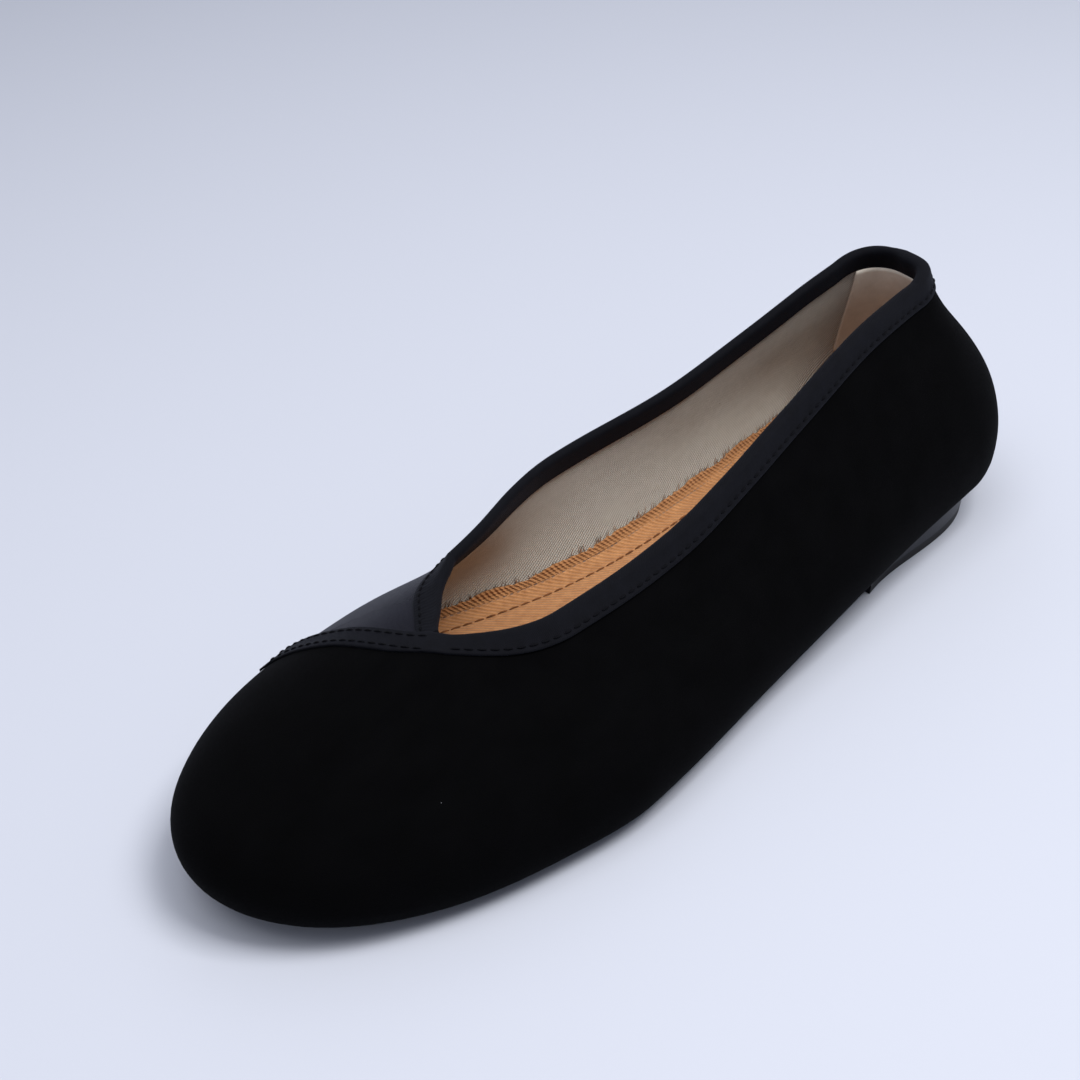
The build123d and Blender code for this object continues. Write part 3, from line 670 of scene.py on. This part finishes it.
def sock_mesh():
    """Sock: woven top with a slight hollow at the stitched line and a thin edge."""
    verts, faces, uvs = [], [], []
    walks = np.linspace(0, LOOP, 321)[:-1]
    parts = [0, 0.15, 0.3, 0.45, 0.6, 0.7, 0.8, 0.86, 0.91, 0.95, 0.98, 1.0]
    for walk in walks:
        sole = sole_reach(walk)
        for part in parts:
            back = sole - (sole - SOCK_INSET) * part
            seam = math.exp(-(((back - SOCK_ROW) / 1.1) ** 2))
            edge = 0.9 * max(0.0, (part - 0.9) / 0.1) ** 2
            verts.append(floor_point(walk, back, -0.35 * seam + edge + 0.12 * noise.noise(Vector((walk * 0.09, part * 4, 1)))))
        verts.append(floor_point(walk, SOCK_INSET, -0.9))
    size = len(parts) + 1
    for i in range(len(walks)):
        j = (i + 1) % len(walks)
        for k in range(size - 1):
            face = (i * size + k, j * size + k, j * size + k + 1, i * size + k + 1)
            faces.append(face)
            uvs += [(verts[n][0] / MM, verts[n][1] / MM) for n in face]
    return finish_mesh("sock_twill_top", verts, faces, uvs, SOCK_CLOTH)


sock = sock_mesh()
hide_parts("sock_lining")

# the sock's cut edge turned up against the lining, with a ragged top; its cloth is a darker copy of the sock twill,
# painted shade for the upright strip
lip_rows = []
for walk in np.linspace(0, LOOP, 520)[:-1]:
    x, y, angle = spine(walk)
    foot = seat(x + sole_reach(walk) * math.cos(angle)) + SOCK_OVER
    ragged = LIP_RISE + 0.9 * noise.noise(Vector((walk * 0.11, 3, 0))) + 0.7 * noise.noise(Vector((walk * 0.9, 0, 5)))
    curve = bezier(wall(walk, INNER_TRIM[1]), np.linspace(0, 0.8, 160))
    heights = curve[:, 1]
    section = [(sole_reach(walk) - SOCK_INSET - 0.6, foot + 0.15), (sole_reach(walk) - SOCK_INSET + 0.5, foot + 0.5)]
    for rise in np.linspace(1.2, ragged, 6):
        t = float(np.interp(foot + rise, heights, np.linspace(0, 0.8, 160)))
        section.append(tuple(on_wall(walk, [t], INNER_TRIM[0] + 0.45 - 0.2 * rise / ragged)[0]))
    for rise in (ragged, 1.0):
        t = float(np.interp(foot + rise, heights, np.linspace(0, 0.8, 160)))
        section.append(tuple(on_wall(walk, [t], INNER_TRIM[0] - 0.05)[0]))
    lip_rows.append(place(walk, section))
lip = strip_mesh("sock_turned_edge_cloth", lip_rows, SOCK_EDGE_PAINTED_SHADE, wrap=True, loop=True)
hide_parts("sock_turned_edge")


def fray_mesh():
    """Loose thread ends above the turned-up edge."""
    verts, faces, uvs = [], [], []
    for _ in range(900):
        walk = random.uniform(0, LOOP)
        x, y, angle = spine(walk)
        foot = seat(x + sole_reach(walk) * math.cos(angle)) + SOCK_OVER
        values = np.linspace(0, 0.8, 80)
        heights = bezier(wall(walk, INNER_TRIM[0]), values)[:, 1]
        reach, lean = random.uniform(0.6, 2.6), random.uniform(-1.1, 1.1)
        first = len(verts)
        for step in range(4):
            part = step / 3
            rise = LIP_RISE - 0.8 + reach * part
            t = float(np.interp(foot + rise, heights, values))
            centre = place(walk + lean * part, on_wall(walk, [t], INNER_TRIM[0] - 0.02 + 0.35 * part * part))[0]
            width = 0.13 * (1 - 0.6 * part) * MM
            for dx, dz in ((-width, -width / 2), (width, -width / 2), (0, width)):
                verts.append(centre + np.array([dx, 0, dz]))
        for step in range(3):
            for s in range(3):
                low, high = first + step * 3, first + step * 3 + 3
                faces.append((low + s, low + (s + 1) % 3, high + (s + 1) % 3, high + s))
                uvs += [(walk, 0), (walk + 0.2, 0), (walk + 0.2, reach), (walk, reach)]
    return finish_mesh("sock_frayed_threads", verts, faces, uvs, SOCK_CLOTH)


fray_mesh()
track = np.array([floor_point(w, SOCK_ROW, -0.15) for w in np.linspace(0, LOOP, 700)])
normals = np.tile([0.0, 0.0, 1.0], (700, 1))
sock_row = stitch_mesh("sock_thread_row", track, normals, 3.0, 0.78, SOCK_THREAD)
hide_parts("sock_stitches")

# ---- heel patch ----
patch_rows = []
for walk in np.linspace(-34, 34, 90):
    depth = INNER_TRIM[1]
    edge = 1.0 - min(1.0, (34 - abs(walk)) / 3.0)
    low = below_top(wall(walk, depth), 36.0 - 2.5 * edge)
    high = below_top(wall(walk, depth), BINDING_IN + 0.1)
    face = on_wall(walk, np.linspace(low, high, 26), depth)
    rear = on_wall(walk, np.linspace(high, low, 26), INNER_TRIM[0] - 0.05)
    patch_rows.append(place(walk, np.vstack([face, rear])))
patch = strip_mesh("heel_grip_patch_leather", patch_rows, GRIP, wrap=True)
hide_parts("heel_grip_patch")

# ---- pieces that keep their own solids ----
SOLID_LOOKS = {
    "outsole": ((0.004, 0.004, 0.005), 0.8, 0.0, 900.0),
    "heel_block": ((0.010, 0.012, 0.019), 0.36, 0.0, 700.0),
    "heel_top_lift": ((0.006, 0.006, 0.008), 0.55, 0.0, 900.0),
    "heel_nails": ((0.55, 0.55, 0.57), 0.35, 1.0, 1500.0),
    "shank": ((0.42, 0.43, 0.46), 0.4, 1.0, 1200.0),
    "bottom_filler": ((0.40, 0.28, 0.18), 0.9, 0.0, 400.0),
    "insole_board": ((0.45, 0.36, 0.27), 0.85, 0.0, 500.0),
    "insole_foam": ((0.78, 0.74, 0.66), 0.9, 0.0, 600.0),
    "heel_counter": ((0.70, 0.66, 0.58), 0.8, 0.0, 800.0),
    "toe_puff": ((0.70, 0.66, 0.58), 0.8, 0.0, 800.0),
    "lateral_interlining": ((0.66, 0.62, 0.54), 0.9, 0.0, 1500.0),
    "medial_interlining": ((0.66, 0.62, 0.54), 0.9, 0.0, 1500.0),
    "velvet_backing": ((0.01, 0.01, 0.012), 0.9, 0.0, 1500.0),
}
for name, (color, rough, metal, grain) in SOLID_LOOKS.items():
    material, tree, shader = moulded_material(name + "_look", color, rough, grain)
    shader.inputs["Metallic"].default_value = metal
    shader.inputs["Specular IOR Level"].default_value = 0.2
    nodes[name].data.materials.clear()
    nodes[name].data.materials.append(material)

# ---- floor, light and camera ----
floor_mesh = bpy.data.meshes.new("floor")
floor_mesh.from_pydata([(-6, -6, 0), (6, -6, 0), (6, 6, 0), (-6, 6, 0)], [], [(0, 1, 2, 3)])
floor = bpy.data.objects.new("floor", floor_mesh)
bpy.context.scene.collection.objects.link(floor)
floor_material, floor_tree, floor_shader = cloth("floor_paper", (0.55, 0.575, 0.655), 0.8)
floor_mesh.materials.append(floor_material)

world = bpy.data.worlds.new("studio")
world.use_nodes = True
world.node_tree.nodes["Background"].inputs[0].default_value = (0.84, 0.88, 1.0, 1)
world.node_tree.nodes["Background"].inputs[1].default_value = 0.46
bpy.context.scene.world = world
bpy.context.scene.view_settings.view_transform = "Standard"


def area_light(name, spot, aim, size, power, color):
    """Soft square light aimed at a point."""
    lamp = bpy.data.lights.new(name, "AREA")
    lamp.size, lamp.energy, lamp.color = size, power, color
    obj = bpy.data.objects.new(name, lamp)
    obj.location = spot
    obj.rotation_euler = (Vector(aim) - Vector(spot)).to_track_quat("-Z", "Y").to_euler()
    bpy.context.scene.collection.objects.link(obj)


area_light("overhead", (0.35, 0.10, 1.15), (0, 0, 0), 0.8, 4.4, (1.0, 0.99, 0.98))
area_light("behind", (-0.55, -0.75, 0.85), (0, 0, 0.02), 0.7, 1.0, (0.97, 0.98, 1.0))
area_light("heel_side", (-0.22, 0.48, 1.05), (-0.04, 0, 0.03), 0.5, 11.0, (1.0, 0.99, 0.97))

CAMERA_AT = Vector((216.3, 221.0, 224.4)) * MM
CAMERA_AIM = Vector((3.2, -31.9, 18.3)) * MM
CAMERA_ROLL = math.radians(-4.99)
back = (CAMERA_AT - CAMERA_AIM).normalized()
right = Vector((0, 0, 1)).cross(back).normalized()
up = back.cross(right)
tilted_right = right * math.cos(CAMERA_ROLL) + up * math.sin(CAMERA_ROLL)
tilted_up = up * math.cos(CAMERA_ROLL) - right * math.sin(CAMERA_ROLL)
lens = bpy.data.cameras.new("camera")
lens.lens, lens.sensor_width, lens.clip_start = 54.4, 36.0, 0.01
camera = bpy.data.objects.new("camera", lens)
camera.matrix_world = Matrix.Translation(CAMERA_AT) @ Matrix((tilted_right, tilted_up, back)).transposed().to_4x4()
bpy.context.scene.collection.objects.link(camera)
bpy.context.scene.camera = camera
